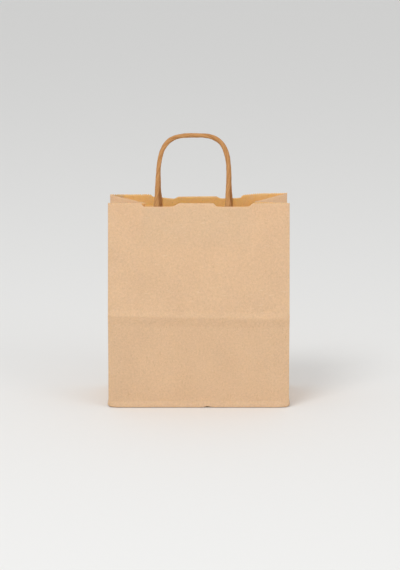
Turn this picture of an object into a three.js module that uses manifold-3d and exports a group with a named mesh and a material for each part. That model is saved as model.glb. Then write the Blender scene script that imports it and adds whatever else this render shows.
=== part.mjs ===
// Carrier bag of brown kraft paper with a block bottom and two twisted cord handles, standing half open.
// Millimetres, +Z up. The front panel faces -Y and the origin is the middle of the base, on the ground.

import * as THREE from 'three';
import { mergeVertices } from 'three/addons/utils/BufferGeometryUtils.js';
import Module from 'manifold-3d';

const wasm = await Module();
wasm.setup();

// Bag
const WIDTH = 220; // across the front and rear panels
const DEPTH = 110; // of the open base, and across a side gusset laid flat
const PANEL_HEIGHT = 250; // up the paper, from the base fold to the top edge
const PAPER = 0.3; // thickness of the sheet
const CREASE_HEIGHT = 112.2; // of the cross fold, up the paper
const CREASE_SKEW = 4.4; // how much lower the front's cross fold ends at the right than at the left
const MOUTH_DEPTH = 66; // between the top edges of the two panels
const MOUTH_SKEW = 7; // how much deeper the mouth is at its right end than at its left
const REAR_CREASE_INSET = 6.6; // how far the rear panel leans in by its cross fold
const FRONT_BOW = 3; // how far the front panel's top edge bows into the mouth
const REAR_BOW = 10.5; // how far the rear panel's top edge bows into the mouth
const BOW_HALF_WIDTH = 72;
const BOW_RAMP = 40; // width over which a bow sets in
const REAR_BOW_SHIFT = 8; // of the bow's middle to the right
const SEAM_WIDTH = 18; // lengthwise glued overlap, up the rear panel
const SEAM_END = 3; // from the seam's ends to the base fold and the top edge
const BASE_LAYERS = 3; // of paper, where the flaps and a gusset end lie on each other
const FLAP_OVERLAP = 10; // how far each base flap reaches past the middle of the base

// Top edge
const TEAR_PITCH = 2.4; // between the teeth of the torn edge
const TEAR_DEPTH = 0.9;
const NOTCH_DEPTH = 4.3; // of the cut-outs round the handle legs
const FRONT_NOTCH = { mouth: 47, floor: 35 }; // widths of a cut-out
const REAR_NOTCH = { mouth: 35, floor: 27 };
const PATCH_SHIFT = -2.5; // of the cut-outs and patches, from the middle of the panel

// Handles
const CORD = 5.2; // diameter of the twisted cord
const STRAND_DEPTH = 0.1; // height of the twist's ridges, as a share of the cord's radius
const TWIST_PITCH = 55; // along the cord, for one turn of the twist
const CORD_FLAT_WIDTH = 7; // of the cord where it is pressed between the patches
const CORD_FLAT_THICKNESS = 2.8;
const CORD_ROUND_OVER = 22; // length over which the cord turns from flat to round
const LEG_SPACING = 87; // between the middles of the two legs
const HANDLE_RISE = 82.5; // from the panel's top edge to the cord's middle at the crown
const STRAIGHT_LEG = 8; // of the leg above the panel's top edge, below the arch
const ARCH_POWER = 3.6; // of the superellipse that the arch follows
const LEG_SHIFT = -6.4; // of the legs, from the middle of the panel
const LEG_STAGGER = 4; // of the rear legs to the right of the front ones, at the top edge
const STAGGER_RISE = 30; // above the top edge, where the legs have come in line
const CROWN_SHIFT = -5.5; // of both crowns, which lean together
const CROWN_GAP = 0.8; // between the two crowns
const REAR_CROWN_DROP = 1.2; // of the rear crown below the front one

// Patches that hold the cord's ends
const PATCH_HEIGHT = 45;
const PATCH_MARGIN = 22; // from a leg's middle to the patch's end
const PATCH_DROP = 1.5; // from the cut-out's floor to the patch's top edge
const CORD_END_INSET = 5; // from the cord's end to the patch's lower edge
const HUMP_SLOPE = 7; // width over which the cover patch comes down beside the cord
const GLUE_GAP = 0.3; // between pieces that are glued together

// Fineness
const PANEL_STRIPS = 24; // across a panel
const UPPER_ROWS = 5; // up a panel, from its cross fold to the band below the top edge
const PATCH_ROWS = 2;
const RIM_BAND = 9; // height of the band below the top edge that holds its teeth and cut-outs
const SLOPE_STEPS = 4; // along the slope of a cut-out or a hump
const CORD_SIDES = 12;
const CORD_STEPS = 132;
const ARCH_POINTS = 14;
const NEAREST_BENDS = 0.15; // two bends of an edge that are nearer than this are one

const KRAFT = { color: 0xdeba94, roughness: 0.88, metalness: 0 };
const KRAFT_PATCH = { color: 0xd6ab78, roughness: 0.9, metalness: 0 };
const KRAFT_CORD = { color: 0xbe8a58, roughness: 0.8, metalness: 0 };

const lerp = THREE.MathUtils.lerp;
const clamp = THREE.MathUtils.clamp;

function smooth(share) {
  const t = clamp(share, 0, 1);
  return t * t * (3 - 2 * t);
}

// Collects triangles, and gives a closed geometry with shared vertices.
class Faces {
  constructor() {
    this.positions = [];
  }

  triangle(a, b, c) {
    for (const point of [a, b, c]) {
      this.positions.push(point.x, point.y, point.z);
    }
  }

  quad(a, b, c, d) {
    this.triangle(a, b, c);
    this.triangle(a, c, d);
  }

  geometry() {
    const geometry = new THREE.BufferGeometry();
    geometry.setAttribute('position', new THREE.Float32BufferAttribute(this.positions, 3));
    return mergeVertices(geometry);
  }
}

function toSolid(geometry) {
  const bare = geometry.clone();
  bare.deleteAttribute('normal');
  bare.deleteAttribute('uv');
  const merged = mergeVertices(bare);
  const vertProperties = new Float32Array(merged.attributes.position.array);
  const triVerts = new Uint32Array(merged.index.array);
  return new wasm.Manifold(new wasm.Mesh({ numProp: 3, vertProperties, triVerts }));
}

function toGeometry(solid) {
  const mesh = solid.getMesh();
  const geometry = new THREE.BufferGeometry();
  geometry.setAttribute('position', new THREE.BufferAttribute(mesh.vertProperties, 3));
  geometry.setIndex(new THREE.BufferAttribute(mesh.triVerts, 1));
  return geometry;
}

// A sheet between two grids of points, rows of columns. Its near side faces columns x rows.
function thickSheet(near, far) {
  const faces = new Faces();
  const lastRow = near.length - 1;
  const lastColumn = near[0].length - 1;
  for (let j = 0; j < lastRow; j++) {
    for (let i = 0; i < lastColumn; i++) {
      faces.quad(near[j][i], near[j][i + 1], near[j + 1][i + 1], near[j + 1][i]);
      faces.quad(far[j][i], far[j + 1][i], far[j + 1][i + 1], far[j][i + 1]);
    }
    faces.quad(near[j][0], near[j + 1][0], far[j + 1][0], far[j][0]);
    faces.quad(near[j + 1][lastColumn], near[j][lastColumn], far[j][lastColumn], far[j + 1][lastColumn]);
  }
  for (let i = 0; i < lastColumn; i++) {
    faces.quad(near[0][i + 1], near[0][i], far[0][i], far[0][i + 1]);
    faces.quad(near[lastRow][i], near[lastRow][i + 1], far[lastRow][i + 1], far[lastRow][i]);
  }
  return faces.geometry();
}

// The folded paper: each column of the sheet is a line up the paper, bent at its stops.
function pointUp(column, height) {
  const above = column.findIndex((stop, i) => i > 0 && (stop.height >= height || i === column.length - 1));
  const low = column[above - 1];
  const high = column[above];
  const share = (height - low.height) / (high.height - low.height);
  return new THREE.Vector3().lerpVectors(low.point, high.point, share);
}

function bow(amount, shift, x) {
  return amount * smooth((BOW_HALF_WIDTH - Math.abs(x - shift)) / BOW_RAMP);
}

// A panel's column at x: upright or leaning in to the cross fold, then leaning in to the mouth.
function panelColumn(side, x, creaseHeight, creaseInset, mouthY) {
  const creaseY = DEPTH / 2 - creaseInset;
  const creaseZ = Math.sqrt(creaseHeight ** 2 - creaseInset ** 2);
  const upper = PANEL_HEIGHT - creaseHeight;
  const topZ = creaseZ + Math.sqrt(upper ** 2 - (creaseY - mouthY) ** 2);
  const kneeShare = DEPTH / 2 / creaseHeight;
  const base = new THREE.Vector3(x, (side * DEPTH) / 2, 0);
  const crease = new THREE.Vector3(x, side * creaseY, creaseZ);
  const top = new THREE.Vector3(x, side * mouthY, topZ);
  return [
    { height: 0, point: base },
    { height: DEPTH / 2, point: base.clone().lerp(crease, kneeShare) },
    { height: creaseHeight, point: crease },
    { height: PANEL_HEIGHT, point: top },
  ];
}

// A panel is a row of flat strips, and is measured across by x.
class Panel {
  constructor(side, notch, columnAt) {
    this.side = side;
    this.notch = notch;
    this.xs = Array.from({ length: PANEL_STRIPS + 1 }, (_, i) => lerp(-WIDTH / 2, WIDTH / 2, i / PANEL_STRIPS));
    this.columns = this.xs.map(columnAt);
  }

  // A point on the outer face.
  at(x, height) {
    const strip = clamp(Math.floor(((x + WIDTH / 2) / WIDTH) * PANEL_STRIPS), 0, PANEL_STRIPS - 1);
    const share = (x - this.xs[strip]) / (this.xs[strip + 1] - this.xs[strip]);
    return pointUp(this.columns[strip], height).lerp(pointUp(this.columns[strip + 1], height), share);
  }

  // A point that lies off the inner face, into the bag.
  inside(x, height, distance) {
    const point = this.at(x, height);
    point.y -= this.side * (PAPER + distance);
    return point;
  }

  // How far out from the middle of the patch the torn edge starts.
  tornFrom() {
    return LEG_SPACING / 2 + this.notch.mouth / 2;
  }

  // How much lower than the full height the top edge is at x.
  drop(x) {
    const out = Math.abs(x - PATCH_SHIFT);
    if (out > this.tornFrom()) {
      return tornDrop(WIDTH / 2 - Math.abs(x));
    }
    const slope = (this.notch.mouth - this.notch.floor) / 2;
    return NOTCH_DEPTH * smooth((this.notch.mouth / 2 - Math.abs(out - LEG_SPACING / 2)) / slope);
  }

  // The places across the panel where the top edge bends.
  edgePlaces() {
    const places = [];
    for (const end of [-1, 1]) {
      const torn = WIDTH / 2 - Math.abs(PATCH_SHIFT + end * this.tornFrom());
      for (let s = TEAR_PITCH / 2; s < torn; s += TEAR_PITCH / 2) {
        places.push(end * (WIDTH / 2 - s));
      }
      for (const slopeSide of [-1, 1]) {
        for (let step = 0; step <= SLOPE_STEPS; step++) {
          const half = lerp(this.notch.floor, this.notch.mouth, step / SLOPE_STEPS) / 2;
          places.push(PATCH_SHIFT + (end * LEG_SPACING) / 2 + slopeSide * half);
        }
      }
    }
    return spread(places);
  }
}

// The drop of the torn edge at a distance along the paper from a corner fold.
function tornDrop(distance) {
  const share = Math.abs((distance / TEAR_PITCH) % 1);
  return TEAR_DEPTH * (1 - Math.abs(1 - 2 * share));
}

// Sorted, without places that nearly coincide.
function spread(places) {
  const sorted = places.toSorted((a, b) => a - b);
  return sorted.filter((place, i) => i === 0 || place - sorted[i - 1] > NEAREST_BENDS);
}

const frontPanel = new Panel(-1, FRONT_NOTCH, (x) => {
  const creaseHeight = CREASE_HEIGHT - (CREASE_SKEW * x) / WIDTH;
  return panelColumn(-1, x, creaseHeight, 0, MOUTH_DEPTH / 2 - bow(FRONT_BOW, 0, x));
});
const rearPanel = new Panel(1, REAR_NOTCH, (x) => {
  const mouthY = MOUTH_DEPTH / 2 + (MOUTH_SKEW * x) / WIDTH;
  return panelColumn(1, x, CREASE_HEIGHT, REAR_CREASE_INSET, mouthY - bow(REAR_BOW, REAR_BOW_SHIFT, x));
});

// The centre fold of a gusset. Its halves keep their width, so it moves in as the panels close up, and it
// dips at the top because the paper's edge stays square to the leaning corner folds.
function gussetFold(side) {
  const front = frontPanel.at((side * WIDTH) / 2, 0);
  const stops = [{ height: 0, point: new THREE.Vector3(front.x, 0, 0) }];
  const heights = [0, DEPTH / 2, CREASE_HEIGHT, PANEL_HEIGHT];
  for (let i = 1; i < heights.length; i++) {
    const ends = [frontPanel, rearPanel].map((panel) => ({
      low: panel.at((side * WIDTH) / 2, heights[i - 1]),
      high: panel.at((side * WIDTH) / 2, heights[i]),
    }));
    const half = (ends[1].high.y - ends[0].high.y) / 2;
    const inset = Math.sqrt(Math.max((DEPTH / 2) ** 2 - half ** 2, 0));
    const dips = ends.map(({ low, high }) => half * Math.abs((high.y - low.y) / (high.z - low.z)));
    const z = (ends[0].high.z - dips[0] + ends[1].high.z - dips[1]) / 2;
    const y = (ends[0].high.y + ends[1].high.y) / 2;
    stops.push({ height: heights[i], point: new THREE.Vector3(side * (WIDTH / 2 - inset), y, z) });
  }
  return stops;
}

// The strips round the bag, anticlockwise from the front left corner, each with the bends of its top edge
// as shares across the strip and heights up the paper.
function bagStrips() {
  const strips = [];
  const addPanel = (panel, xs) => {
    const places = panel.edgePlaces();
    for (let i = 0; i + 1 < xs.length; i++) {
      const [start, end] = [xs[i], xs[i + 1]];
      const clear = (x) => Math.min(Math.abs(x - start), Math.abs(x - end)) > NEAREST_BENDS;
      const inside = places.filter((x) => (x - start) * (x - end) < 0 && clear(x));
      const edge = [start, ...inside, end]
        .map((x) => ({ share: (x - start) / (end - start), height: PANEL_HEIGHT - panel.drop(x) }))
        .toSorted((a, b) => a.share - b.share);
      strips.push({ column: panel.columns[panel.xs.indexOf(start)], edge, foldUp: true });
    }
  };
  const addGusset = (corners, fold) => {
    const teeth = Math.round(DEPTH / 2 / TEAR_PITCH);
    const edge = Array.from({ length: 2 * teeth + 1 }, (_, i) => ({
      share: i / (2 * teeth),
      height: PANEL_HEIGHT - (i % 2 ? TEAR_DEPTH : 0),
    }));
    strips.push({ column: corners, edge, foldUp: true });
    strips.push({ column: fold, edge, foldUp: false });
  };
  addPanel(frontPanel, frontPanel.xs);
  addGusset(frontPanel.columns.at(-1), gussetFold(1));
  addPanel(rearPanel, rearPanel.xs.toReversed());
  addGusset(rearPanel.columns[0], gussetFold(-1));
  return strips;
}

// A closed loop seen from above, moved in by a distance with its corners mitred.
function insetLoop(loop, distance) {
  const inward = (a, b) => new THREE.Vector2(a.y - b.y, b.x - a.x).normalize();
  return loop.map((point, i) => {
    const before = inward(loop.at(i - 1), point);
    const after = inward(point, loop[(i + 1) % loop.length]);
    const mitre = before.clone().add(after).multiplyScalar(distance / (1 + before.dot(after)));
    return new THREE.Vector3(point.x + mitre.x, point.y + mitre.y, point.z);
  });
}

// The wall of the bag with its floor, as one closed sheet.
function bagWall() {
  const strips = bagStrips();
  const count = strips.length;
  const floor = BASE_LAYERS * PAPER;
  const rim = PANEL_HEIGHT - RIM_BAND;
  const rowOf = (pick) => strips.map(({ column }) => pick(column));
  const stopRows = [0, 1, 2].map((stop) => rowOf((column) => column[stop].point));
  const upperRows = Array.from({ length: UPPER_ROWS }, (_, i) =>
    rowOf((column) => pointUp(column, lerp(column[2].height, rim, (i + 1) / UPPER_ROWS))));
  const outer = [...stopRows, ...upperRows];
  const inner = outer.map((loop) => insetLoop(loop, PAPER));
  inner[0].forEach((point) => {
    point.z = floor;
  });
  const outerTop = rowOf((column) => column.at(-1).point);
  const innerTop = insetLoop(outerTop, PAPER);
  const faces = new Faces();
  const side = (rows, i, j, foldUp, flip) => {
    const next = (i + 1) % count;
    const corners = [rows[j][i], rows[j][next], rows[j + 1][next], rows[j + 1][i]];
    const ordered = foldUp ? corners : [corners[1], corners[2], corners[3], corners[0]];
    faces.quad(...(flip ? [ordered[0], ordered[3], ordered[2], ordered[1]] : ordered));
  };
  const edgePoint = (rimRow, topRow, i, { share, height }) => {
    const up = (height - rim) / RIM_BAND;
    const next = (i + 1) % count;
    const low = rimRow[i].clone().lerp(rimRow[next], share);
    return low.lerp(topRow[i].clone().lerp(topRow[next], share), up);
  };
  strips.forEach(({ edge, foldUp }, i) => {
    const next = (i + 1) % count;
    for (let j = 0; j + 1 < outer.length; j++) {
      side(outer, i, j, foldUp, false);
      side(inner, i, j, foldUp, true);
    }
    const out = edge.map((bend) => edgePoint(outer.at(-1), outerTop, i, bend));
    const into = edge.map((bend) => edgePoint(inner.at(-1), innerTop, i, bend));
    const [outLow, outNext] = [outer.at(-1)[i], outer.at(-1)[next]];
    const [inLow, inNext] = [inner.at(-1)[i], inner.at(-1)[next]];
    const half = edge.findIndex(({ share }) => share >= 0.5);
    faces.triangle(outLow, outNext, out[half]);
    faces.triangle(inNext, inLow, into[half]);
    for (let k = 0; k + 1 < edge.length; k++) {
      faces.triangle(k < half ? outLow : outNext, out[k + 1], out[k]);
      faces.triangle(k < half ? inLow : inNext, into[k], into[k + 1]);
      faces.quad(out[k], out[k + 1], into[k + 1], into[k]);
    }
    faces.triangle(new THREE.Vector3(), outer[0][next], outer[0][i]);
    faces.triangle(new THREE.Vector3(0, 0, floor), inner[0][i], inner[0][next]);
  });
  return faces.geometry();
}

// A flat prism from below the ground up to a height, to be cut from the underside of the base.
function baseCutter(outline, height) {
  const below = PAPER;
  const shape = new THREE.Shape(outline.map(([x, y]) => new THREE.Vector2(x, y)));
  const geometry = new THREE.ExtrudeGeometry(shape, { depth: below + height, bevelEnabled: false });
  return geometry.translate(0, 0, -below);
}

// The underside steps up from the front flap, folded over last, to the rear flap and the gusset ends.
function baseCutters() {
  const past = FLAP_OVERLAP; // how far the cutters reach outside the base
  const [x, y] = [WIDTH / 2 + past, DEPTH / 2 + past];
  const flapEnd = WIDTH / 2 - DEPTH / 2 - FLAP_OVERLAP;
  const besideFlap = [[x, -y], [x, y], [-x, y], [-x, -y], [-flapEnd, FLAP_OVERLAP], [flapEnd, FLAP_OVERLAP]];
  const gussetEnd = (side) => [[side * x, -side * y], [side * x, side * y], [side * (x - y), 0]];
  return [
    baseCutter(besideFlap, PAPER),
    baseCutter(gussetEnd(1), (BASE_LAYERS - 1) * PAPER),
    baseCutter(gussetEnd(-1), (BASE_LAYERS - 1) * PAPER),
  ];
}

// The overlap of the sheet's two edges stands one paper proud of the rear panel, beside its left corner.
function glueSeam() {
  const xs = [-WIDTH / 2 + SEAM_WIDTH, -WIDTH / 2 + SEAM_END];
  const heights = [SEAM_END, CREASE_HEIGHT, PANEL_HEIGHT - SEAM_END];
  const layer = (lift) => heights.map((height) => xs.map((x) => rearPanel.inside(x, height, lift - PAPER)));
  return thickSheet(layer(-PAPER), layer(PAPER / 2));
}

function bagBody() {
  let body = toSolid(bagWall()).add(toSolid(glueSeam()));
  for (const cutter of baseCutters()) {
    body = body.subtract(toSolid(cutter));
  }
  return toGeometry(body);
}

// Layers off a panel's inner face: the backing patch, the cord's flat ends and the cover patch.
const BACKING_FACE = GLUE_GAP;
const CORD_FACE = BACKING_FACE + PAPER + GLUE_GAP;
const COVER_HUMP = CORD_FLAT_THICKNESS + GLUE_GAP;
const PATCH_TOP = PANEL_HEIGHT - NOTCH_DEPTH - PATCH_DROP;
const PATCH_BOTTOM = PATCH_TOP - PATCH_HEIGHT;

// How far the cover patch is lifted at x by the cord's ends below it.
function humpLift(legs, x) {
  const off = Math.min(...legs.map((leg) => Math.abs(x - leg)));
  return COVER_HUMP * smooth(1 - (off - CORD_FLAT_WIDTH / 2 - GLUE_GAP) / HUMP_SLOPE);
}

// A strip of paper that lies along a panel's inner face, at a distance from it that may change with x.
function patch(panel, places, distanceAt) {
  const reach = LEG_SPACING / 2 + PATCH_MARGIN;
  const ends = [PATCH_SHIFT - reach, PATCH_SHIFT + reach];
  const within = [...panel.xs, ...places].filter((x) => x > ends[0] && x < ends[1]);
  const across = spread([...ends, ...within]);
  const xs = panel.side < 0 ? across : across.toReversed();
  const heights = Array.from({ length: PATCH_ROWS + 1 }, (_, i) => lerp(PATCH_BOTTOM, PATCH_TOP, i / PATCH_ROWS));
  const layer = (lift) =>
    heights.map((height) => xs.map((x) => panel.inside(x, height, distanceAt(x) + lift)));
  return thickSheet(layer(0), layer(PAPER));
}

function backingPatch(panel) {
  return patch(panel, [], () => BACKING_FACE);
}

function coverPatch(panel, shift) {
  const legs = [-1, 1].map((end) => shift + (end * LEG_SPACING) / 2);
  const flat = CORD_FLAT_WIDTH / 2 + GLUE_GAP;
  const places = legs.flatMap((leg) =>
    [-1, 1].flatMap((end) =>
      Array.from({ length: SLOPE_STEPS + 1 }, (_, i) => leg + end * (flat + (HUMP_SLOPE * i) / SLOPE_STEPS))));
  return patch(panel, places, (x) => CORD_FACE + humpLift(legs, x));
}

// The middle of the cord: up from between the patches, over the arch and down again.
function handlePath(panel, shift, drop) {
  const legOff = CORD_FACE + CORD_FLAT_THICKNESS / 2;
  const rise = HANDLE_RISE - drop;
  const crownY = panel.side * (CORD * (1 + STRAND_DEPTH) + CROWN_GAP) / 2;
  const legs = [-1, 1].map((end) => panel.inside(shift + (end * LEG_SPACING) / 2, PANEL_HEIGHT, legOff));
  const crownRun = Math.abs(legs[0].y + legs[1].y) / 2 - Math.abs(crownY);
  const crownZ = legs[0].z + Math.sqrt(rise ** 2 - crownRun ** 2);
  // A place above the top edge, by its offset from the handle's middle and its height up the handle.
  const above = (off, up) => {
    const foot = legs[0].clone().lerp(legs[1], (off + LEG_SPACING / 2) / LEG_SPACING);
    const crown = new THREE.Vector3(CROWN_SHIFT + off, crownY, crownZ);
    const place = foot.lerp(crown, up / rise);
    const stagger = (shift - LEG_SHIFT) * (1 - smooth(up / STAGGER_RISE));
    place.x = lerp(LEG_SHIFT, CROWN_SHIFT, up / rise) + stagger + off;
    return place;
  };
  const tail = (end) =>
    [0, 0.5].map((share) => {
      const height = lerp(PATCH_BOTTOM + CORD_END_INSET, PATCH_TOP, share);
      return panel.inside(shift + (end * LEG_SPACING) / 2, height, legOff);
    });
  const foot = (end) => [panel.inside(shift + (end * LEG_SPACING) / 2, PATCH_TOP, legOff)];
  const arch = Array.from({ length: ARCH_POINTS + 1 }, (_, i) => {
    const angle = Math.PI * (1 - i / ARCH_POINTS);
    const power = 2 / ARCH_POWER;
    const off = (Math.sign(Math.cos(angle)) * Math.abs(Math.cos(angle)) ** power * LEG_SPACING) / 2;
    const up = STRAIGHT_LEG + (rise - STRAIGHT_LEG) * Math.sin(angle) ** power;
    return above(off, up);
  });
  const points = [...tail(-1), ...foot(-1), ...arch, ...foot(1), ...tail(1).toReversed()];
  return new THREE.CatmullRomCurve3(points, false, 'centripetal');
}

// The direction square to a panel's inner face at a handle leg, where the cord is pressed against it.
function pressedFace(panel, x) {
  const half = CORD_FLAT_WIDTH / 2;
  const across = panel.inside(x + half, PATCH_TOP, 0).sub(panel.inside(x - half, PATCH_TOP, 0));
  const up = panel.inside(x, PATCH_TOP, 0).sub(panel.inside(x, PATCH_BOTTOM, 0));
  return across.cross(up).normalize();
}

// A cord swept along its path. Its ridges wind round it, and its ends are pressed flat to the panel.
function twistedCord(panel, path) {
  const length = path.getLength();
  const flatUntil = PATCH_HEIGHT - CORD_END_INSET;
  const ends = [path.getPoint(0), path.getPoint(1)];
  const pressed = ends.map(({ x }) => pressedFace(panel, x));
  const across = ends[1].clone().sub(ends[0]).normalize();
  const plane = across.cross(path.getPoint(0.5).sub(ends[0])).normalize();
  const rings = [];
  for (let step = 0; step <= CORD_STEPS; step++) {
    const along = step / CORD_STEPS;
    const tangent = path.getTangentAt(along);
    const fromEnd = Math.min(along, 1 - along) * length;
    const roundness = smooth((fromEnd - flatUntil) / CORD_ROUND_OVER);
    const normal = pressed[along < 0.5 ? 0 : 1].clone().lerp(plane, roundness);
    normal.addScaledVector(tangent, -normal.dot(tangent)).normalize();
    const sideways = normal.clone().cross(tangent);
    const halfWidth = lerp(CORD_FLAT_WIDTH, CORD, roundness) / 2;
    const halfThickness = lerp(CORD_FLAT_THICKNESS, CORD, roundness) / 2;
    const turn = (2 * Math.PI * along * length) / TWIST_PITCH;
    const centre = path.getPointAt(along);
    const ring = Array.from({ length: CORD_SIDES }, (_, k) => {
      const angle = (2 * Math.PI * k) / CORD_SIDES;
      const ridge = 1 + STRAND_DEPTH * roundness * Math.cos(2 * (angle - turn));
      return centre
        .clone()
        .addScaledVector(sideways, ridge * halfWidth * Math.cos(angle))
        .addScaledVector(normal, ridge * halfThickness * Math.sin(angle));
    });
    rings.push({ centre, ring });
  }
  const faces = new Faces();
  const [first, last] = [rings[0], rings.at(-1)];
  for (let k = 0; k < CORD_SIDES; k++) {
    const next = (k + 1) % CORD_SIDES;
    for (let step = 0; step < CORD_STEPS; step++) {
      const [low, high] = [rings[step].ring, rings[step + 1].ring];
      faces.quad(low[k], low[next], high[next], high[k]);
    }
    faces.triangle(first.centre, first.ring[next], first.ring[k]);
    faces.triangle(last.centre, last.ring[k], last.ring[next]);
  }
  return faces.geometry();
}

function piece(name, geometry, finish) {
  const mesh = new THREE.Mesh(geometry, new THREE.MeshStandardMaterial(finish));
  mesh.name = name;
  return mesh;
}

const bag = new THREE.Group();
bag.add(piece('bag_body', bagBody(), KRAFT));
const handles = [
  { name: 'front', panel: frontPanel, shift: LEG_SHIFT - LEG_STAGGER / 2, drop: 0 },
  { name: 'rear', panel: rearPanel, shift: LEG_SHIFT + LEG_STAGGER / 2, drop: REAR_CROWN_DROP },
];
for (const { name, panel, shift, drop } of handles) {
  const handle = new THREE.Group();
  handle.add(piece(`${name}_handle`, twistedCord(panel, handlePath(panel, shift, drop)), KRAFT_CORD));
  handle.add(piece(`${name}_backing_patch`, backingPatch(panel), KRAFT_PATCH));
  handle.add(piece(`${name}_cover_patch`, coverPatch(panel, shift), KRAFT_PATCH));
  bag.add(handle);
}

export default bag;
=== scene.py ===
"""Looks of a brown kraft paper carrier bag: one folded sheet, two twisted cord handles and their patches."""

import math

import bmesh
import bpy
import numpy as np
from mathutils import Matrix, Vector


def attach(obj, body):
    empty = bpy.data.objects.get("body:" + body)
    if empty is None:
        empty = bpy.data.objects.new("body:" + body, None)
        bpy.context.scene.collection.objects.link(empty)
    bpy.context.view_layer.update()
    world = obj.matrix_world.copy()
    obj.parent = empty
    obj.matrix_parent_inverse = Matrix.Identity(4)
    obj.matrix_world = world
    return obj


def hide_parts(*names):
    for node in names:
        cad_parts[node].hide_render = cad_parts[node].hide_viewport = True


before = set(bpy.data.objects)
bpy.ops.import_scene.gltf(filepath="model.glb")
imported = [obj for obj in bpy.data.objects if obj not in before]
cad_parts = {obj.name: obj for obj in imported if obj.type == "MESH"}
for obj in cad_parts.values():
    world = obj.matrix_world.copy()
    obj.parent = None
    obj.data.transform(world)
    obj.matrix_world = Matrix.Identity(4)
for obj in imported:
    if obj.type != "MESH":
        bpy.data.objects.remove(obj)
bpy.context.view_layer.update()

MM = 0.001

# Folded sheet, in millimetres
WIDTH = 220  # across the front and rear panels
DEPTH = 110  # of the base, and across a side gusset laid flat
HEIGHT = 250  # up the paper, from the base fold to the top edge
PAPER = 0.3
CREASE_HEIGHT = 112.2  # of the cross fold
CREASE_SKEW = 4.4  # how much lower the front's cross fold ends at the right
REAR_CREASE_INSET = 6.6  # how far the rear panel leans in up to its cross fold
MOUTH_DEPTH = 66
MOUTH_SKEW = 7  # how much deeper the mouth is at its right end
FRONT_BOW = 3  # how far the middle of a panel's top is drawn in
REAR_BOW = 10.5
BOW_HALF_WIDTH = 72
BOW_RAMP = 40
REAR_BOW_SHIFT = 8
FLAP_OVERLAP = 10
FLAP = DEPTH / 2 + FLAP_OVERLAP  # of the front and rear panels under the base
GUSSET_FLAP = DEPTH / 2 - 1
SLIT_START = 5  # how far under the base the flaps part from each other

# Glued seam on the rear panel, in millimetres
SEAM_WIDTH = 18
SEAM_END = 3  # from the seam's lower end to the base, and from the sheet's other edge to the corner
SEAM_GLUE = 0.03
SEAM_RISE = 2.5  # from the corner to where the overlap stands fully proud
SEAM_CORNER = 4  # width of the overlap that goes on down to the base at the corner
SEAM_TUCK = 1  # how far that goes under the base

# Softness of the folds, in millimetres
FOLD_EASE = 1.2  # half the width over which an upright fold turns
CORNER_EASE = 2.6  # more of it at the base corners
CORNER_REACH = 5  # how far from the base fold that is felt
EASE_END = 6  # how far under the base the upright folds are eased
CROSS_EASE = 2.2  # half the height over which the base fold and the cross fold turn
EASE_SAMPLES = 7

# Unevenness of the paper, in millimetres
WAVE_COUNT = 9
WAVE_LIMITS = ((60, 190), (0, 2 * math.pi), (0, 2 * math.pi), (0.5, 1))  # length, heading, start, height
WAVE_HEIGHT = 0.16
WAVE_START = 3  # above the base
WAVE_FADE = 30  # from a fold to the full waves
CREASE_RIDGE = 2
RIDGE_BELOW = 11  # how far the ridge spreads below and above the cross fold
RIDGE_ABOVE = 7
RIDGE_FADE = 6
TOE = 2  # how far the foot of the walls stands out at the base fold
TOE_HEIGHT = 8
TOE_FADE = 12
NICK_PLACE = 10.5  # of the small dent in the front's base fold
NICK_DEPTH = 1.5
NICK_WIDTH = 3.5
NICK_HEIGHT = 4

# Top edge, in millimetres
RIM_BAND = 9
TEAR_PITCH = 2.4
TEAR_DEPTH = 1.5
TEAR_RUN = 4  # places along the edge that share a depth
TEAR_LEAST = 0.2  # shallowest and deepest tooth, as shares of the depth
TEAR_MOST = 1.3
TEAR_LEVEL = 0.45  # how far the teeth are raised, as a share of the depth
TOOTH_LEAST = 0.7  # smallest tooth in a run, as a share of the run's depth
TEAR_SPREAD = 4  # a shallow run lies lower by its lack of depth over this
# Each cut-out runs from its outer end down to its floor and up to the tab between the handle's legs.
FRONT_CUT_OUTS = {"left": (-69.9, -66.0, -32.4, -22.7), "right": (65.7, 59.6, 22.1, 17.4)}
REAR_CUT_OUTS = {"left": (-60.4, -55.5, -31.0, -24.4), "right": (53.6, 51.8, 27.4, 21.2)}
FRONT_CUT_OUT_DEPTH = 4.2
REAR_CUT_OUT_DEPTH = 2.8

# Rows of the grid up the sheet, close together where it folds or ends: start, end and number
BASE_BAND = (-8, 12)
CREASE_BAND = (96, 128)
SHEET_ROWS = (
    (-FLAP, BASE_BAND[0], 8),
    (*BASE_BAND, 20),
    (BASE_BAND[1], CREASE_BAND[0], 14),
    (*CREASE_BAND, 20),
    (CREASE_BAND[1], HEIGHT - RIM_BAND, 16),
    (HEIGHT - RIM_BAND, HEIGHT, 4),
)

# Handles, in millimetres
CORD = 5
CORD_FLAT_WIDTH = 7
CORD_FLAT_THICKNESS = 2.8
CORD_ROUND_OVER = 13  # length over which the cord turns from flat to round
STRAND_DEPTH = 0.1  # as a share of the cord's thickness
TWIST_PITCH = 55
LEG_SPACING = 87
LEG_SHIFT = -6.4
LEG_STAGGER = 2.5  # of the rear legs to the right of the front ones
STAGGER_RISE = 30
FRONT_SWAY = 2  # how far the front handle's right leg leans in
CROWN_SHIFT = -5.5
CROWN_GAP = 0.8
HANDLE_RISE = 82.2
REAR_CROWN_DROP = 2.2
STRAIGHT_LEG = 8
ARCH_POWER = 3.6
ARCH_POINTS = 400
TAIL_POINTS = 20
LINE_STEP = 0.6
LINE_EASE = 9

# Surface of the cord, with depths as shares of its radius
CORD_SIDES = 44
GROOVE_DEPTH = 0.6 * STRAND_DEPTH  # between the two strands
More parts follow.
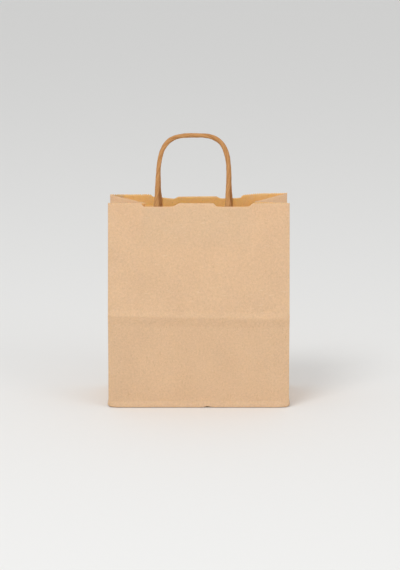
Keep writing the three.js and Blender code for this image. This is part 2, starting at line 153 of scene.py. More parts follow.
# Fine folds: depth, number round the cord, start, how far they wander, over what length, turn by side
CORD_FOLDS = ((0.022, 5, 0, 0.9, 13, 1), (0.014, 9, 2, 1.1, 7.3, 0))
SWELL = 0.03  # slow change of thickness along the cord
SWELL_LENGTHS = (11, 4.7)
STREAK_LENGTH = 0.02  # how far the streaks' noise moves on for each millimetre along the cord
GROOVE_SHADE_TOP = 1.06  # radius where the painted shade in the grooves starts, and the drop to its full strength
GROOVE_SHADE_RANGE = 0.2

# Patches, in millimetres
PATCH_HEIGHT = 45
PATCH_MARGIN = 22
PATCH_SHIFT = -2.5
PATCH_DROP = 5.8  # from the top edge to the strips
PATCH_TOP = HEIGHT - PATCH_DROP
PATCH_BOTTOM = PATCH_TOP - PATCH_HEIGHT
REAR_PATCH_DROP = 9  # how much lower the rear strips end, out of sight behind the front rim
PATCH_COLUMNS = 132
PATCH_ROWS = 12
RAGGED = 0.25  # how far a strip's upper and lower edges wander
RAGGED_LENGTHS = (1.9, 5.3)
CORD_END_INSET = 5
HUMP_SLOPE = 7
GLUE_GAP = 0.3
CORD_FACE = PAPER + 2 * GLUE_GAP
COVER_HUMP = CORD_FLAT_THICKNESS + GLUE_GAP

# The folds round the bag, as distances along the flat sheet from the free edge of its glued seam.
REAR_LEFT = SEAM_WIDTH
LEFT_GUSSET = REAR_LEFT + DEPTH / 2
FRONT_LEFT = LEFT_GUSSET + DEPTH / 2
FRONT_RIGHT = FRONT_LEFT + WIDTH
RIGHT_GUSSET = FRONT_RIGHT + DEPTH / 2
REAR_RIGHT = RIGHT_GUSSET + DEPTH / 2
SHEET_END = REAR_RIGHT + WIDTH - SEAM_END
CORNERS = (REAR_LEFT, FRONT_LEFT, FRONT_RIGHT, REAR_RIGHT, REAR_RIGHT + WIDTH)
FOLDS = CORNERS + (LEFT_GUSSET, RIGHT_GUSSET)

# Paper: how much light goes into it, and how far that spreads, so that its warm part comes through
OUTER_THROUGH = 0.25
INNER_THROUGH = 0.85
PATCH_THROUGH = 0.3
CORD_THROUGH = 0.1
THROUGH_RADIUS = (1, 0.78, 0.42)
THROUGH_SCALE = 1.3 * MM
PAPER_SPECULAR = 0.25
BUMP_DEPTH = 0.15 * MM
LEAST_ROUGHNESS = 0.78
ROUGHNESS_RANGE = 0.14
FIBRE_STRENGTH = 0.35
# Dark tone of the cord's streaks, also used as painted shade in its grooves
CORD_STREAK_AND_SHADE = (0.36, 0.155, 0.05, 1)
STREAK_STRENGTH = 0.75
# How strongly shade is painted into the cord's grooves
GROOVE_SHADE_STRENGTH = 0.6

# The stage
FLOOR_HALF_SIZE = 20
FLOOR_DROP = 0.2 * MM
FLOOR_COLOR = (0.82, 0.82, 0.81, 1)
FLOOR_ROUGHNESS = 0.9
WORLD_COLOR = (1, 1, 1, 1)
WORLD_STRENGTH = 0.74
LAMP_TARGET = Vector((0, 0, 0.15))

# The photograph's view: 400 x 570 pixels, from a little above
VIEW_ELEVATION = math.radians(11.83)
VIEW_DISTANCE = 2.5
VIEW_TARGET = Vector((0.0015, 0, 0.1407))
VIEW_LENS = 128.31
VIEW_END = 100

chance = np.random.default_rng(7)
WAVES = [[chance.uniform(low, high) for low, high in WAVE_LIMITS] for _ in range(WAVE_COUNT)]


def smooth(share):
    t = np.clip(share, 0, 1)
    return t * t * (3 - 2 * t)


def off_nearest(places, marks):
    """How far each place is from the nearest of these marks."""
    return np.min([np.abs(places - mark) for mark in marks], axis=0)


# The folded sheet


def bow(amount, shift, x):
    return amount * smooth((BOW_HALF_WIDTH - np.abs(x - shift)) / BOW_RAMP)


def panel_profile(up, crease, inset, mouth):
    """How far a panel stands from the middle of the bag, and how high, at a distance up the paper."""
    crease_y = DEPTH / 2 - inset
    crease_z = np.sqrt(crease**2 - inset**2)
    rise = np.sqrt((HEIGHT - crease) ** 2 - (crease_y - mouth) ** 2)
    low = up / crease
    high = (up - crease) / (HEIGHT - crease)
    y = np.where(up < crease, DEPTH / 2 - inset * low, crease_y + (mouth - crease_y) * high)
    z = np.where(up < crease, crease_z * low, crease_z + rise * high)
    return y, z


def front_panel(x, up):
    crease = CREASE_HEIGHT - CREASE_SKEW * x / WIDTH
    y, z = panel_profile(up, crease, 0, MOUTH_DEPTH / 2 - bow(FRONT_BOW, 0, x))
    return np.stack([x, -y, z], -1)


def rear_panel(x, up):
    mouth = MOUTH_DEPTH / 2 + MOUTH_SKEW * x / WIDTH - bow(REAR_BOW, REAR_BOW_SHIFT, x)
    y, z = panel_profile(up, CREASE_HEIGHT, REAR_CREASE_INSET, mouth)
    return np.stack([x, y, z], -1)


def gusset_fold(side, up):
    """The centre fold of a gusset, which moves in as the panels close up and dips at the mouth."""
    stops = np.array([0, DEPTH / 2, CREASE_HEIGHT, HEIGHT])
    edge_x = np.full(len(stops), side * WIDTH / 2)
    front = front_panel(edge_x, stops)
    rear = rear_panel(edge_x, stops)
    half = (rear[:, 1] - front[:, 1]) / 2
    inset = np.sqrt(np.maximum((DEPTH / 2) ** 2 - half**2, 0))
    height = 0
    for edge in (front, rear):
        lean = np.abs(np.diff(edge[:, 1]) / np.diff(edge[:, 2]))
        height = height + (edge[:, 2] - half * np.concatenate([[0], lean])) / 2
    x = np.interp(up, stops, side * (WIDTH / 2 - inset))
    y = np.interp(up, stops, (front[:, 1] + rear[:, 1]) / 2)
    return np.stack([x, y, np.interp(up, stops, height)], -1)


def gusset(side, share, up):
    """A gusset from the front corner, share 0, over its centre fold, 1, to the rear corner, 2."""
    edge_x = np.full(np.shape(up), side * WIDTH / 2)
    fold = gusset_fold(side, up)
    corner = np.where((share < 1)[..., None], front_panel(edge_x, up), rear_panel(edge_x, up))
    toward = (1 - np.abs(share - 1))[..., None]
    return corner + (fold - corner) * toward


def front_x(across):
    return across - FRONT_LEFT - WIDTH / 2


def rear_x(across):
    """x on the rear panel, for the sheet's last stretch and for the glued overlap at its start."""
    overlap = -WIDTH / 2 + SEAM_WIDTH - across
    return np.where(across <= REAR_LEFT, overlap, REAR_RIGHT + WIDTH / 2 - across)


def on_front(across):
    return (across >= FRONT_LEFT) & (across <= FRONT_RIGHT)


def on_rear(across):
    return (across <= REAR_LEFT) | (across >= REAR_RIGHT)


def sharp_wall(across, up):
    left = across < FRONT_LEFT
    right = across > FRONT_RIGHT
    share_left = np.clip((FRONT_LEFT - across) / (DEPTH / 2), 0, 2)
    share_right = np.clip((across - FRONT_RIGHT) / (DEPTH / 2), 0, 2)
    place = front_panel(front_x(across), up)
    place = np.where(left[..., None], gusset(-1, share_left, up), place)
    place = np.where(right[..., None], gusset(1, share_right, up), place)
    return np.where(on_rear(across)[..., None], rear_panel(rear_x(across), up), place)


def sharp_base(across, under):
    """The flaps under the base: the front one lowest, then the rear one, then the gusset ends."""
    foot = sharp_wall(across, np.zeros_like(under))
    panel = on_front(across) | on_rear(across)
    reach = np.where(panel, under, under * GUSSET_FLAP / FLAP)
    x = foot[..., 0] * (1 - reach / (WIDTH / 2))
    y = foot[..., 1] * (1 - reach / (DEPTH / 2))
    layer = np.where(on_front(across), 0, np.where(on_rear(across), 1, 2)) * PAPER
    return np.stack([x, y, layer], -1)


def sharp_sheet(across, up):
    wall = sharp_wall(across, np.maximum(up, 0))
    base = sharp_base(across, np.maximum(-up, 0))
    wall[..., 2] += base[..., 2] * (1 - np.clip(up, 0, HEIGHT) / HEIGHT)
    return np.where((up > 0)[..., None], wall, base)


def eased_sheet(across, up):
    """Each place is the mean of the sharp sheet around it, which turns its folds over a small radius."""
    ease_across = FOLD_EASE + CORNER_EASE * np.exp(-((up / CORNER_REACH) ** 2))
    ease_across = ease_across * (up > -EASE_END)
    steps, weights = np.polynomial.legendre.leggauss(EASE_SAMPLES)
    place = 0
    for step, weight in zip(steps, weights / 2):
        for step_up, weight_up in zip(steps, weights / 2):
            near = sharp_sheet(across + step * ease_across, up + step_up * CROSS_EASE)
            place = place + weight * weight_up * near
    return place


def outward(across):
    """The side of the bag that a stretch of the sheet faces."""
    gusset_side = np.where(across < FRONT_LEFT, -1.0, 1.0)
    panel = on_front(across) | on_rear(across)
    x = np.where(panel, 0, gusset_side)
    y = np.where(panel, np.where(on_front(across), -1.0, 1.0), 0)
    return np.stack([x, y, np.zeros_like(x)], -1)


def unevenness(across, up):
    """How far the paper stands out: long gentle waves, the ridge of the cross fold and the walls' foot."""
    across = np.where(across < REAR_LEFT, across + REAR_RIGHT + WIDTH - REAR_LEFT, across)
    from_fold = off_nearest(across, FOLDS)
    waves = 0
    for length, heading, start, height in WAVES:
        along = across * math.cos(heading) + up * math.sin(heading)
        waves = waves + height * np.sin(2 * math.pi * along / length + start)
    waves = WAVE_HEIGHT * waves * smooth(from_fold / WAVE_FADE) * smooth((up - WAVE_START) / WAVE_FADE)
    crease = CREASE_HEIGHT - np.where(on_front(across), CREASE_SKEW * front_x(across) / WIDTH, 0)
    over = up - crease
    spread = np.where(over < 0, RIDGE_BELOW, RIDGE_ABOVE)
    ridge = CREASE_RIDGE * np.clip(1 - np.abs(over) / spread, 0, 1) * smooth(from_fold / RIDGE_FADE)
    toe = TOE * np.clip(1 - np.abs(up) / TOE_HEIGHT, 0, 1)
    return waves + ridge + toe * smooth(off_nearest(across, CORNERS) / TOE_FADE)


def bag_sheet(across, up):
    """The outer face of the bag, with the glued overlap lying one paper proud of the rear panel."""
    proud = (PAPER + SEAM_GLUE) * smooth((REAR_LEFT - across) / SEAM_RISE)
    stand = unevenness(across, up) + proud
    place = eased_sheet(across, up) + outward(across) * stand[..., None]
    nick = np.exp(-(((front_x(across) - NICK_PLACE) / NICK_WIDTH) ** 2))
    place[..., 2] += NICK_DEPTH * nick * np.exp(-((up / NICK_HEIGHT) ** 2))
    return place


# The top edge


def cut_out(x, places, depth):
    outer, floor_start, floor_end, inner = np.array(places) * np.sign(places[0])
    out = x * np.sign(places[0])
    rise_out = smooth((outer - out) / (outer - floor_start))
    rise_in = smooth((out - inner) / (floor_end - inner))
    return depth * rise_out * rise_in


def top_drop(across):
    """How far the top edge lies below the full height: the cut-outs, and the torn teeth elsewhere."""
    x = np.where(on_front(across), front_x(across), rear_x(across))
    drop = np.zeros_like(across)
    plain = np.zeros(across.shape, bool)
    for on, cut_outs, depth in (
        (on_front(across), FRONT_CUT_OUTS, FRONT_CUT_OUT_DEPTH),
        (on_rear(across), REAR_CUT_OUTS, REAR_CUT_OUT_DEPTH),
    ):
        for places in cut_outs.values():
            drop = np.where(on, np.maximum(drop, cut_out(x, places, depth)), drop)
        plain |= on & (x > cut_outs["left"][0]) & (x < cut_outs["right"][0])
    tooth = np.abs((across / TEAR_PITCH) % 1 * 2 - 1)
    runs = chance.uniform(TEAR_LEAST, TEAR_MOST, len(across) // TEAR_RUN + 1)
    depths = np.repeat(runs, TEAR_RUN)[: len(across)]
    cut = tooth * chance.uniform(TOOTH_LEAST, 1, across.shape) * depths
    torn = TEAR_DEPTH * (cut + (TEAR_MOST - depths) / TEAR_SPREAD - TEAR_LEVEL)
    return np.where(plain, drop, torn)


# Making meshes


def grid_of(across_count, up_count):
    """A bmesh grid, with each vertex's column and row."""
    bm = bmesh.new()
    bmesh.ops.create_grid(bm, x_segments=across_count - 1, y_segments=up_count - 1, size=1)
    flat = np.array([vert.co[:2] for vert in bm.verts])
    column = np.rint((flat[:, 0] + 1) / 2 * (across_count - 1)).astype(int)
    row = np.rint((flat[:, 1] + 1) / 2 * (up_count - 1)).astype(int)
    return bm, column, row


def move_to(bm, places):
    for vert, place in zip(bm.verts, places * MM):
        vert.co = place


def finish_piece(bm, name, material, cad_node):
    mesh = bpy.data.meshes.new(name)
    bm.to_mesh(mesh)
    bm.free()
    mesh.polygons.foreach_set("use_smooth", [True] * len(mesh.polygons))
    mesh.materials.append(material)
    piece = bpy.data.objects.new(name, mesh)
    bpy.context.scene.collection.objects.link(piece)
    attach(piece, "root")
    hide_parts(cad_node)
    return piece


def thicken(piece, offset):
    solid = piece.modifiers.new("paper thickness", "SOLIDIFY")
    solid.thickness = PAPER * MM
    solid.offset = offset
    solid.use_even_offset = True
    solid.use_quality_normals = True
    return solid


def rows_of(stretches):
    """Places along a line: (start, end, count) stretches, each without its end, and the last end."""
    places = [np.linspace(start, end, count, endpoint=False) for start, end, count in stretches]
    return np.concatenate(places + [[stretches[-1][1]]])


def make_bag(material, inside):
    half_tooth = TEAR_PITCH / 2
    across = np.arange(0, SHEET_END + half_tooth / 2, half_tooth)
    across[-1] = SHEET_END
    up = rows_of(SHEET_ROWS)
    bm, column, row = grid_of(len(across), len(up))
    edge_drop = top_drop(across)
    in_band = np.clip((up[row] - HEIGHT + RIM_BAND) / RIM_BAND, 0, 1)
    place_across = across[column]
    place_up = up[row] - edge_drop[column] * in_band
    move_to(bm, bag_sheet(place_across, place_up))
    cut = (place_across < REAR_LEFT - SEAM_CORNER) & (place_up < SEAM_END)
    cut |= (place_across < REAR_LEFT - SEAM_TUCK) & (place_up < -SEAM_TUCK)
    one_column = 0.7 * half_tooth  # takes in the column at a corner, but not those beside it
    at_corner = off_nearest(place_across, CORNERS) < one_column
    cut |= at_corner & (place_up < -SLIT_START)
    faces = [face for face in bm.faces if any(cut[vert.index] for vert in face.verts)]
    bmesh.ops.delete(bm, geom=faces, context="FACES")
    bmesh.ops.recalc_face_normals(bm, faces=bm.faces)
    bag = finish_piece(bm, "folded_bag", material, "bag_body")
    # The inner face takes the copy of the paper with painted warm light
    bag.data.materials.append(inside)
    thicken(bag, -1).material_offset = 1


# Patches and handles


def panel_place(side, x):
    """The distance along the sheet of an x on the front or the rear panel."""
    return FRONT_LEFT + WIDTH / 2 + x if side < 0 else REAR_RIGHT + WIDTH / 2 - x


def inside_panel(side, x, up, distance):
    """A place off a panel's inner face, into the bag."""
    place = bag_sheet(panel_place(side, np.asarray(x, float)), np.asarray(up, float))
    place[..., 1] -= side * (PAPER + distance)
    return place


def hump(legs, x):
    off = off_nearest(x, legs)
    return COVER_HUMP * smooth(1 - (off - CORD_FLAT_WIDTH / 2 - GLUE_GAP) / HUMP_SLOPE)


def make_patch(name, side, gap, legs, material, cad_node):
    """A strip of paper along a panel's inner face, with a hump over each leg that it covers."""
    reach = LEG_SPACING / 2 + PATCH_MARGIN
    xs = np.linspace(PATCH_SHIFT - reach, PATCH_SHIFT + reach, PATCH_COLUMNS)
    top = PATCH_TOP - (REAR_PATCH_DROP if side > 0 else 0)
    up = np.linspace(PATCH_BOTTOM, top, PATCH_ROWS)
    bm, column, row = grid_of(len(xs), len(up))
    x = xs[column]
    ragged = RAGGED * np.sin(x / RAGGED_LENGTHS[0]) * np.sin(x / RAGGED_LENGTHS[1] + side)
    edge = np.where((row == 0) | (row == len(up) - 1), ragged, 0)
    distance = gap + PAPER / 2 + (hump(legs, x) if legs else 0)
    move_to(bm, inside_panel(side, x, up[row] + edge, distance))
    bmesh.ops.recalc_face_normals(bm, faces=bm.faces)
    patch = finish_piece(bm, name, material, cad_node)
    thicken(patch, 0)


def handle_line(side, shift, drop, sway):
    """The middle of a handle's cord: up from between its patches, over the arch and down again."""
    leg_off = CORD_FACE + CORD_FLAT_THICKNESS / 2
    rise = HANDLE_RISE - drop
    crown_y = side * (CORD * (1 + STRAND_DEPTH) + CROWN_GAP) / 2
    leg_x = shift + np.array([-1, 1]) * LEG_SPACING / 2
    feet = inside_panel(side, leg_x, np.full(2, HEIGHT), leg_off)
    run = abs(feet[:, 1].mean()) - abs(crown_y)
    crown_z = feet[0, 2] + math.sqrt(rise**2 - run**2)
    angle = np.linspace(math.pi, 0, ARCH_POINTS)
    power = 2 / ARCH_POWER
    off = np.sign(np.cos(angle)) * np.abs(np.cos(angle)) ** power * LEG_SPACING / 2
    up = STRAIGHT_LEG + (rise - STRAIGHT_LEG) * np.abs(np.sin(angle)) ** power
    between = (off / LEG_SPACING + 0.5)[:, None]
    foot = feet[0] + (feet[1] - feet[0]) * between
    crown = np.stack([CROWN_SHIFT + off, np.full_like(off, crown_y), np.full_like(off, crown_z)], -1)
    arch = foot + (crown - foot) * (up / rise)[:, None]
    stagger = (shift - LEG_SHIFT) * (1 - smooth(up / STAGGER_RISE))
    arch[:, 0] = LEG_SHIFT + (CROWN_SHIFT - LEG_SHIFT) * up / rise + stagger + off
    arch[:, 0] -= sway * between[:, 0] * (1 - up / rise)
    heights = np.linspace(PATCH_BOTTOM + CORD_END_INSET, PATCH_TOP, TAIL_POINTS)
    tails = [inside_panel(side, np.full(TAIL_POINTS, x), heights, leg_off) for x in leg_x]
    return eased_line(np.concatenate([tails[0], arch, tails[1][::-1]]))


def eased_line(points):
    """The line through these points at even steps, with its kinks eased."""
    lengths = np.concatenate([[0], np.cumsum(np.linalg.norm(np.diff(points, axis=0), axis=1))])
    even = np.arange(0, lengths[-1], LINE_STEP)
    line = np.stack([np.interp(even, lengths, points[:, k]) for k in range(3)], -1)
    count = int(LINE_EASE / LINE_STEP)
    before = 2 * line[0] - line[count:0:-1]
    after = 2 * line[-1] - line[-2 : -count - 2 : -1]
    padded = np.concatenate([before, line, after])
    window = np.ones(2 * count + 1) / (2 * count + 1)
    return np.stack([np.convolve(padded[:, k], window, "valid") for k in range(3)], -1)


def unit(vectors):
    return vectors / np.linalg.norm(vectors, axis=-1, keepdims=True)


def make_cord(name, side, shift, drop, sway, material, cad_node):
    """A twisted cord: pressed flat between its patches, then round, with two strands and fine folds."""
    line = handle_line(side, shift, drop, sway)
    steps = np.linalg.norm(np.diff(line, axis=0), axis=1)
    along = np.concatenate([[0], np.cumsum(steps)])
    tangent = unit(np.gradient(line, axis=0))
    from_end = np.minimum(along, along[-1] - along)
    roundness = smooth((from_end - (PATCH_HEIGHT - CORD_END_INSET)) / CORD_ROUND_OVER)[:, None]
    facing = np.array([0, side, 0])
    flat_face = facing - tangent * (tangent @ facing)[:, None]
    plane = unit(np.cross(line[-1] - line[0], line[len(line) // 2] - line[0]))
    plane = plane * np.sign(plane[1] * side)
    normal = unit(flat_face) * (1 - roundness) + plane * roundness
    normal = unit(normal - tangent * np.sum(normal * tangent, axis=1, keepdims=True))
    sideways = np.cross(normal, tangent)

    bm, column, row = grid_of(CORD_SIDES + 1, len(line))
    angle = 2 * math.pi * column / CORD_SIDES
    at = along[row]
    round_here = roundness[row, 0]
    turn = angle - 2 * math.pi * at / TWIST_PITCH
    folds = 0
    for depth, number, start, wander, length, by_side in CORD_FOLDS:
        wandering = wander * np.sin(at / length + by_side * side)
        folds = folds + depth * np.cos(number * turn + start + wandering)
    swell = SWELL * np.sin(at / SWELL_LENGTHS[0] + 2 * side) * np.sin(at / SWELL_LENGTHS[1])
    strand = 1 - 2 * np.abs(np.sin(turn))
    radius = 1 + folds + round_here * (swell - GROOVE_DEPTH * strand)
    half_width = (CORD_FLAT_WIDTH + (CORD - CORD_FLAT_WIDTH) * round_here) / 2
    half_thick = (CORD_FLAT_THICKNESS + (CORD - CORD_FLAT_THICKNESS) * round_here) / 2
    across = sideways[row] * (radius * half_width * np.cos(angle))[:, None]
    through = normal[row] * (radius * half_thick * np.sin(angle))[:, None]
    move_to(bm, line[row] + across + through)

    twist = bm.verts.layers.float_vector.new("twist")
    # Painted shade for the grooves: a share that darkens the colour where the surface lies lowest
    groove_shade = bm.verts.layers.float.new("groove_shade")
    twists = np.stack([np.cos(turn), np.sin(turn), at * STREAK_LENGTH], -1)
    groove_shades = np.clip((GROOVE_SHADE_TOP - radius) / GROOVE_SHADE_RANGE, 0, 1)
    for vert, twisted, shaded in zip(bm.verts, twists, groove_shades):
        vert[twist] = twisted
        vert[groove_shade] = shaded
    bmesh.ops.remove_doubles(bm, verts=bm.verts, dist=1e-6)
    bmesh.ops.holes_fill(bm, edges=[edge for edge in bm.edges if edge.is_boundary], sides=0)
    bmesh.ops.recalc_face_normals(bm, faces=bm.faces)
    finish_piece(bm, name, material, cad_node)


# Materials


def node(tree, kind, place, **values):
    made = tree.nodes.new(kind)
    made.location = place
    for key, value in values.items():
        setattr(made, key, value)
    return made


def noise_of(tree, place, vector, scale, detail, roughness=0.5):
    made = node(tree, "ShaderNodeTexNoise", place)
    made.inputs["Scale"].default_value = scale
    made.inputs["Detail"].default_value = detail
    made.inputs["Roughness"].default_value = roughness
    tree.links.new(vector, made.inputs["Vector"])
    return made.outputs["Fac"]


def math_of(tree, place, operation, *values):
    made = node(tree, "ShaderNodeMath", place, operation=operation)
    for socket, value in zip(made.inputs, values):
        if isinstance(value, (int, float)):
            socket.default_value = value
        else:
            tree.links.new(value, socket)
    return made.outputs[0]


def ramp_of(tree, place, value, low, high):
    made = node(tree, "ShaderNodeMapRange", place, interpolation_type="SMOOTHSTEP")
    made.inputs["From Min"].default_value = low
    made.inputs["From Max"].default_value = high
    tree.links.new(value, made.inputs["Value"])
    return made.outputs["Result"]


def blend_of(tree, place, share, first, second):
    made = node(tree, "ShaderNodeMix", place, data_type="RGBA")
    tree.links.new(share, made.inputs["Factor"])
    for socket, value in ((made.inputs["A"], first), (made.inputs["B"], second)):
        tree.links.new(value, socket)
    return made.outputs["Result"]


def stretched(tree, place, vector, scale, turn):
    made = node(tree, "ShaderNodeMapping", place)
    made.inputs["Scale"].default_value = scale
    made.inputs["Rotation"].default_value = turn
    tree.links.new(vector, made.inputs["Vector"])
    return made.outputs["Vector"]


def kraft_group():
    """Kraft paper close to: cloudy, mottled, with fine grain and short dark and light fibres."""
    tree = bpy.data.node_groups.new("kraft fibres", "ShaderNodeTree")
    for name, kind in (
        ("Vector", "NodeSocketVector"),
        ("Paper", "NodeSocketColor"),
        ("Dark Fibre", "NodeSocketColor"),
        ("Light Fibre", "NodeSocketColor"),
        ("Mottle", "NodeSocketFloat"),
    ):
        tree.interface.new_socket(name, in_out="INPUT", socket_type=kind)
    for name, kind in (
        ("Color", "NodeSocketColor"),
        ("Roughness", "NodeSocketFloat"),
        ("Height", "NodeSocketFloat"),
    ):
        tree.interface.new_socket(name, in_out="OUTPUT", socket_type=kind)
    into = node(tree, "NodeGroupInput", (-1400, 0)).outputs
    out = node(tree, "NodeGroupOutput", (600, 0)).inputs
    vector = into["Vector"]

    clouds = noise_of(tree, (-1100, 300), vector, scale=30, detail=3)
    mottle = noise_of(tree, (-1100, 120), vector, scale=420, detail=3, roughness=0.6)
    grain = noise_of(tree, (-1100, -60), vector, scale=1100, detail=2, roughness=0.6)
    upright = stretched(tree, (-1200, -260), vector, scale=(1, 1, 0.14), turn=(0, 0.12, 0))
    level = stretched(tree, (-1200, -560), vector, scale=(0.16, 0.16, 1), turn=(0, 0.2, 0))
    dark_noise = noise_of(tree, (-1000, -260), upright, scale=900, detail=1)
    light_noise = noise_of(tree, (-1000, -560), level, scale=800, detail=1)
    dark = ramp_of(tree, (-800, -260), dark_noise, low=0.66, high=0.78)
    light = ramp_of(tree, (-800, -560), light_noise, low=0.64, high=0.78)

    # The grain, the clouds and the mottle together lie about 1.1, which is taken off again.
    uneven = math_of(tree, (-800, 120), "MULTIPLY_ADD", grain, 0.8, mottle)
    uneven = math_of(tree, (-700, 120), "MULTIPLY_ADD", clouds, 0.4, uneven)
    uneven = math_of(tree, (-600, 120), "SUBTRACT", uneven, 1.1)
    gain = math_of(tree, (-500, 120), "MULTIPLY_ADD", uneven, into["Mottle"], 1)
    tone = node(tree, "ShaderNodeVectorMath", (-350, 120), operation="SCALE")
    tree.links.new(into["Paper"], tone.inputs[0])
    tree.links.new(gain, tone.inputs["Scale"])
    dark_share = math_of(tree, (-500, -260), "MULTIPLY", dark, FIBRE_STRENGTH)
    light_share = math_of(tree, (-500, -560), "MULTIPLY", light, FIBRE_STRENGTH)
    fibred = blend_of(tree, (-150, 60), dark_share, tone.outputs[0], into["Dark Fibre"])
    fibred = blend_of(tree, (50, 60), light_share, fibred, into["Light Fibre"])
    rough = math_of(tree, (50, -160), "MULTIPLY_ADD", mottle, ROUGHNESS_RANGE, LEAST_ROUGHNESS)
    height = math_of(tree, (50, -320), "MULTIPLY_ADD", mottle, 0.7, grain)
    height = math_of(tree, (200, -320), "MULTIPLY_ADD", light, 0.3, height)
    tree.links.new(fibred, out["Color"])
    tree.links.new(rough, out["Roughness"])
    tree.links.new(height, out["Height"])
    return tree


def paper_material(name, group, paper, dark, light, mottle, bump, through):
    material = bpy.data.materials.new(name)
    material.use_nodes = True
    tree = material.node_tree
    shader = tree.nodes["Principled BSDF"]
    shader.inputs["Specular IOR Level"].default_value = PAPER_SPECULAR
    shader.inputs["Subsurface Weight"].default_value = through
    shader.inputs["Subsurface Radius"].default_value = THROUGH_RADIUS
    shader.inputs["Subsurface Scale"].default_value = THROUGH_SCALE
    fibres = node(tree, "ShaderNodeGroup", (-400, 100), node_tree=group)
    for key, value in (("Paper", paper), ("Dark Fibre", dark), ("Light Fibre", light)):
        fibres.inputs[key].default_value = (*value, 1)
    fibres.inputs["Mottle"].default_value = mottle
    coordinates = node(tree, "ShaderNodeTexCoord", (-900, 100))
    tree.links.new(coordinates.outputs["Object"], fibres.inputs["Vector"])
    raised = node(tree, "ShaderNodeBump", (-200, -200))
    raised.inputs["Strength"].default_value = bump
    raised.inputs["Distance"].default_value = BUMP_DEPTH
    tree.links.new(fibres.outputs["Height"], raised.inputs["Height"])
    tree.links.new(fibres.outputs["Color"], shader.inputs["Base Color"])
    tree.links.new(fibres.outputs["Roughness"], shader.inputs["Roughness"])
    tree.links.new(raised.outputs["Normal"], shader.inputs["Normal"])
    return material


def cord_material(group):
    """Twisted kraft paper: the sheet's own fibres, streaks along the twist and painted shade in the grooves.
    """
    material = paper_material(
        "twisted kraft cord",
        group,
        paper=(0.57, 0.29, 0.11),
        dark=(0.28, 0.12, 0.035),
        light=(0.72, 0.45, 0.22),
        mottle=0.15,
        bump=0.5,
        through=CORD_THROUGH,
    )
    tree = material.node_tree
    shader = tree.nodes["Principled BSDF"]
    fibred = shader.inputs["Base Color"].links[0].from_socket
    twist = node(tree, "ShaderNodeAttribute", (-900, 500), attribute_name="twist")
    # Shade painted into the grooves, read from the cord's vertex attribute, blended with the streaks' dark
    # tone
    groove_shade = node(tree, "ShaderNodeAttribute", (-900, 700), attribute_name="groove_shade")
    noise = noise_of(tree, (-650, 500), twist.outputs["Vector"], scale=2.4, detail=4, roughness=0.6)
    streaks = ramp_of(tree, (-400, 500), noise, low=0.42, high=0.66)
    dark = node(tree, "ShaderNodeRGB", (-400, 700))
    dark.outputs[0].default_value = CORD_STREAK_AND_SHADE
    streak_share = math_of(tree, (-200, 600), "MULTIPLY", streaks, STREAK_STRENGTH)
    groove_shade_share = math_of(tree, (-200, 800), "MULTIPLY", groove_shade.outputs["Fac"], GROOVE_SHADE_STRENGTH)
    share = math_of(tree, (-50, 700), "MAXIMUM", streak_share, groove_shade_share)
    coloured = blend_of(tree, (100, 600), share, fibred, dark.outputs[0])
    tree.links.new(coloured, shader.inputs["Base Color"])
    return material


# The stage


def make_floor():
    bm = bmesh.new()
    bmesh.ops.create_grid(bm, x_segments=1, y_segments=1, size=FLOOR_HALF_SIZE)
    bmesh.ops.translate(bm, verts=bm.verts, vec=(0, 0, -FLOOR_DROP))
    mesh = bpy.data.meshes.new("floor")
    bm.to_mesh(mesh)
    bm.free()
    floor = bpy.data.objects.new("floor", mesh)
    bpy.context.scene.collection.objects.link(floor)
    pale = bpy.data.materials.new("pale floor")
    pale.use_nodes = True
    shader = pale.node_tree.nodes["Principled BSDF"]
    shader.inputs["Base Color"].default_value = FLOOR_COLOR
    shader.inputs["Roughness"].default_value = FLOOR_ROUGHNESS
    mesh.materials.append(pale)


def soft_lamp(name, place, size, power):
    light = bpy.data.lights.new(name, "AREA")
    light.shape = "DISK"
    light.size = size
    light.energy = power
    lamp = bpy.data.objects.new(name, light)
    lamp.location = place
    lamp.rotation_euler = (LAMP_TARGET - lamp.location).to_track_quat("-Z", "Y").to_euler()
    bpy.context.scene.collection.objects.link(lamp)


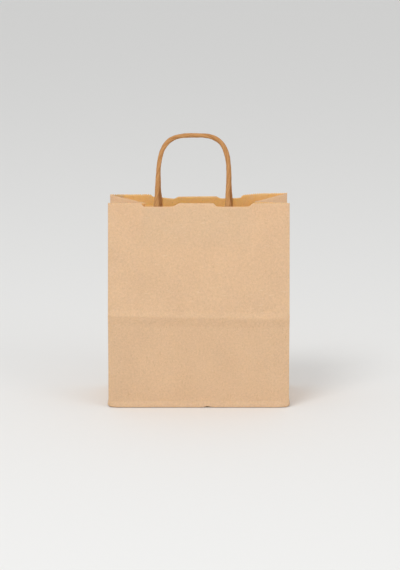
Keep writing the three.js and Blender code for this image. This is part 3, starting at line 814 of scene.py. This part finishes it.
def make_light():
    world = bpy.data.worlds.new("studio")
    world.use_nodes = True
    background = world.node_tree.nodes["Background"]
    background.inputs["Color"].default_value = WORLD_COLOR
    background.inputs["Strength"].default_value = WORLD_STRENGTH
    bpy.context.scene.world = world
    soft_lamp("key", place=(-1.1, -1.9, 2.9), size=1.4, power=36)
    soft_lamp("fill", place=(2.2, -2.0, 1.6), size=1.8, power=13)


def make_camera():
    camera = bpy.data.objects.new("camera", bpy.data.cameras.new("camera"))
    camera.data.lens = VIEW_LENS
    camera.data.clip_end = VIEW_END
    back = Vector((0, -math.cos(VIEW_ELEVATION), math.sin(VIEW_ELEVATION)))
    camera.location = VIEW_TARGET + back * VIEW_DISTANCE
    camera.rotation_euler = (math.pi / 2 - VIEW_ELEVATION, 0, 0)
    bpy.context.scene.collection.objects.link(camera)
    bpy.context.scene.camera = camera


fibres = kraft_group()
kraft = paper_material(
    "brown kraft paper",
    fibres,
    paper=(0.735, 0.487, 0.302),
    dark=(0.5, 0.3, 0.15),
    light=(0.84, 0.62, 0.42),
    mottle=0.32,
    bump=0.35,
    through=OUTER_THROUGH,
)
patch_paper = paper_material(
    "brown patch paper",
    fibres,
    paper=(0.88, 0.53, 0.23),
    dark=(0.5, 0.27, 0.1),
    light=(0.82, 0.57, 0.33),
    mottle=0.2,
    bump=0.4,
    through=PATCH_THROUGH,
)
# The inner face is the same kraft paper, given a brighter, warmer colour that paints in the warm light
# bouncing and coming through inside the bag
kraft_inside_painted_light = paper_material(
    "brown kraft paper inside with painted warm light",
    fibres,
    paper=(0.93, 0.525, 0.28),
    dark=(0.5, 0.28, 0.11),
    light=(0.84, 0.6, 0.36),
    mottle=0.2,
    bump=0.4,
    through=INNER_THROUGH,
)
cord = cord_material(fibres)

make_bag(kraft, kraft_inside_painted_light)
handles = (
    ("front", -1, LEG_SHIFT - LEG_STAGGER / 2, 0, FRONT_SWAY),
    ("rear", 1, LEG_SHIFT + LEG_STAGGER / 2, REAR_CROWN_DROP, 0),
)
for end, side, shift, drop, sway in handles:
    legs = (shift - LEG_SPACING / 2, shift + LEG_SPACING / 2)
    make_cord(f"{end}_cord", side, shift, drop, sway, cord, f"{end}_handle")
    make_patch(f"{end}_backing_strip", side, GLUE_GAP, (), patch_paper, f"{end}_backing_patch")
    make_patch(f"{end}_cover_strip", side, CORD_FACE, legs, patch_paper, f"{end}_cover_patch")

make_floor()
make_light()
make_camera()
bpy.context.scene.view_settings.view_transform = "Standard"
